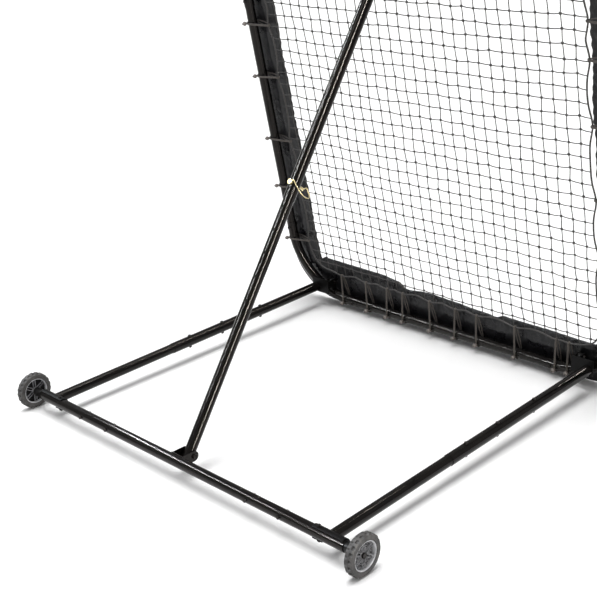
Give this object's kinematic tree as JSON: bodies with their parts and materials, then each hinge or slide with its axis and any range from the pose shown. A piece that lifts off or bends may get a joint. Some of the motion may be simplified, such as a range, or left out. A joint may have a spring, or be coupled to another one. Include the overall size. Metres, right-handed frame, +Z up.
{
  "type": "pitch back rebounder",
  "caption": "Padded net rebounder frame, leaning back on a wheeled tube base and held by a telescoping strut with a lock pin.",
  "frame": {"origin": "middle of the footprint at floor level: half way between the rear of the tyres and the front of the pad, on the centre plane", "axes": "+Z up; +Y from the rear bar to the net, towards the player; +X along the rear bar, towards the side of the strut that the pin's wire loop is on"},
  "size_m": [1.82, 1.6656, 1.7972],
  "materials": {
    "tube_black": "gloss black powder coat",
    "bolt_dark": "dark oxide",
    "yellow_zinc": "yellow zinc plated",
    "tyre_rubber": "matte",
    "rim_silver": "silver",
    "black_plastic": "matte",
    "net_cord": "knotted twine",
    "elastic_brown": "braided elastic",
    "ball_plastic": "matte",
    "pad_cover": "crumpled woven cover"
  },
  "bodies": {
    "base": {"rear_bar_centre": "tube_black", "rear_bar_end_left": "tube_black", "rear_bar_end_right": "tube_black", "bar_coupler_left": "tube_black", "bar_coupler_right": "tube_black", "saddle_left": "tube_black", "saddle_right": "tube_black", "side_tube_rear_left": "tube_black", "side_tube_rear_right": "tube_black", "side_tube_front_left": "tube_black", "side_tube_front_right": "tube_black", "hinge_fork_left": "tube_black", "hinge_fork_right": "tube_black", "strut_clevis": "tube_black", "axle_spacer_left": "black_plastic", "axle_spacer_right": "black_plastic", "bar_buttons": "bolt_dark", "axle_bolts": "bolt_dark", "base_bolts": "bolt_dark", "base_nuts": "bolt_dark", "hinge_bolts": "bolt_dark", "hinge_nuts": "bolt_dark", "foot_bolt": "bolt_dark", "foot_nut": "bolt_dark"},
    "wheel_left": {"tyre_left": "tyre_rubber", "rim_left": "rim_silver"},
    "wheel_right": {"tyre_right": "tyre_rubber", "rim_right": "rim_silver"},
    "net_frame": {"frame_corner_lower_left": "tube_black", "frame_corner_lower_right": "tube_black", "frame_corner_upper_left": "tube_black", "frame_corner_upper_right": "tube_black", "frame_tube_bottom": "tube_black", "frame_tube_top": "tube_black", "frame_tube_side_left": "tube_black", "frame_tube_side_right": "tube_black", "hinge_lug_left": "tube_black", "hinge_lug_right": "tube_black", "top_clevis": "tube_black", "frame_bolts": "bolt_dark", "frame_nuts": "bolt_dark", "head_bolt": "bolt_dark", "head_nut": "bolt_dark", "net": "net_cord", "net_rope": "net_cord", "bungee_loops": "elastic_brown", "bungee_balls": "ball_plastic", "pad_bottom": "pad_cover", "pad_top": "pad_cover", "pad_side_left": "pad_cover", "pad_side_right": "pad_cover"},
    "strut_lower": {"strut_inner_tube": "tube_black"},
    "strut_upper": {"strut_outer_tube": "tube_black", "strut_head": "tube_black"},
    "lock_pin": {"lock_pin": "yellow_zinc"},
    "pin_bail": {"lock_pin_bail": "yellow_zinc"}
  },
  "joints": [
    {"name": "wheel_spin_left", "type": "hinge", "parent": "base", "child": "wheel_left", "pos_m": [-0.844, -0.76276, 0.07], "axis": [1, 0, 0], "continuous": true},
    {"name": "wheel_spin_right", "type": "hinge", "parent": "base", "child": "wheel_right", "pos_m": [0.844, -0.76276, 0.07], "axis": [1, 0, 0], "continuous": true},
    {"name": "frame_tilt", "type": "hinge", "parent": "base", "child": "net_frame", "pos_m": [0, 0.75928, 0.11998], "axis": [1, 0, 0], "range_deg": [0, 20.02]},
    {"name": "strut_swing", "type": "hinge", "parent": "base", "child": "strut_lower", "pos_m": [0, -0.70076, 0.07], "axis": [1, 0, 0], "range_deg": [0, 11.4]},
    {"name": "strut_slide", "type": "slide", "parent": "strut_lower", "child": "strut_upper", "axis": [0, 0.5595, 0.8288], "range_m": [-0.4402, 0]},
    {"name": "pin_pull", "type": "slide", "parent": "strut_upper", "child": "lock_pin", "axis": [0, -0.8288, 0.5595], "range_m": [0, 0.08]},
    {"name": "bail_swing", "type": "hinge", "parent": "lock_pin", "child": "pin_bail", "pos_m": [0, -0.15883, 0.92034], "axis": [-0.7071, -0.3956, -0.5861], "range_deg": [0, 150.1]}
  ],
  "couplings": [
    {"joint": "strut_swing", "follows": "frame_tilt", "ratio": 0.56593},
    {"joint": "strut_slide", "follows": "frame_tilt", "m_per_rad": -1.2594},
    {"joint": "bail_swing", "follows": "pin_pull", "rad_per_m": 32.72}
  ]
}
